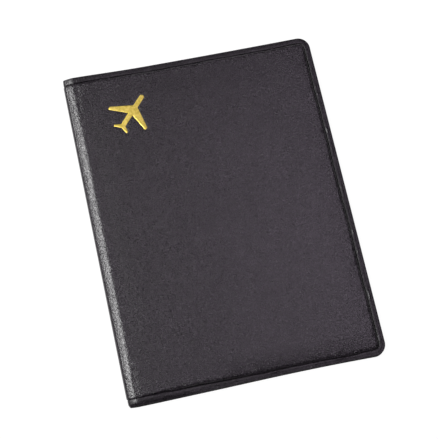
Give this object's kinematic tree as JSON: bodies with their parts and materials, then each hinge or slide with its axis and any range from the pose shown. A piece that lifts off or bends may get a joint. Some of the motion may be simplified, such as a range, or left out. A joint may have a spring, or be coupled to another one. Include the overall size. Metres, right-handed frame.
{
  "type": "passport holder",
  "caption": "Folding passport cover with padded welded covers, a soft rounded spine, inside pockets and a small foil aeroplane on the front.",
  "frame": {"origin": "under the middle of the closed cover, on the surface it lies on", "axes": "+X from the spine to the fore edge, +Y from tail to head, +Z out of the front cover"},
  "size_m": [0.105, 0.14, 0.005],
  "materials": {
    "outer_skin": "fine pebble-grain leather-look sheet, satin",
    "foam": "closed-cell foam sheet",
    "board": "flexible stiffener board",
    "lining": "thin matt lining",
    "pocket_sheet": "thin embossed film, low sheen",
    "foil": "hot-stamped gold foil"
  },
  "bodies": {
    "back_cover": {"back_cover_skin": "outer_skin", "back_foam_pad": "foam", "back_stiffener_board": "board", "back_lining": "lining", "back_passport_pocket": "pocket_sheet"},
    "spine": {"spine_skin": "outer_skin", "spine_lining": "lining"},
    "front_cover": {"front_cover_skin": "outer_skin", "front_foam_pad": "foam", "front_stiffener_board": "board", "front_lining": "lining", "front_passport_pocket": "pocket_sheet", "card_pocket_lower": "pocket_sheet", "card_pocket_upper": "pocket_sheet", "aeroplane_foil": "foil"}
  },
  "joints": [
    {"name": "back_crease", "type": "hinge", "parent": "back_cover", "child": "spine", "pos_m": [-0.05173, 0, 0.00077], "axis": [0, -1, 0], "range_deg": [0, 90]},
    {"name": "front_crease", "type": "hinge", "parent": "spine", "child": "front_cover", "pos_m": [-0.05173, 0, 0.00423], "axis": [0, -1, 0], "range_deg": [0, 90]}
  ]
}
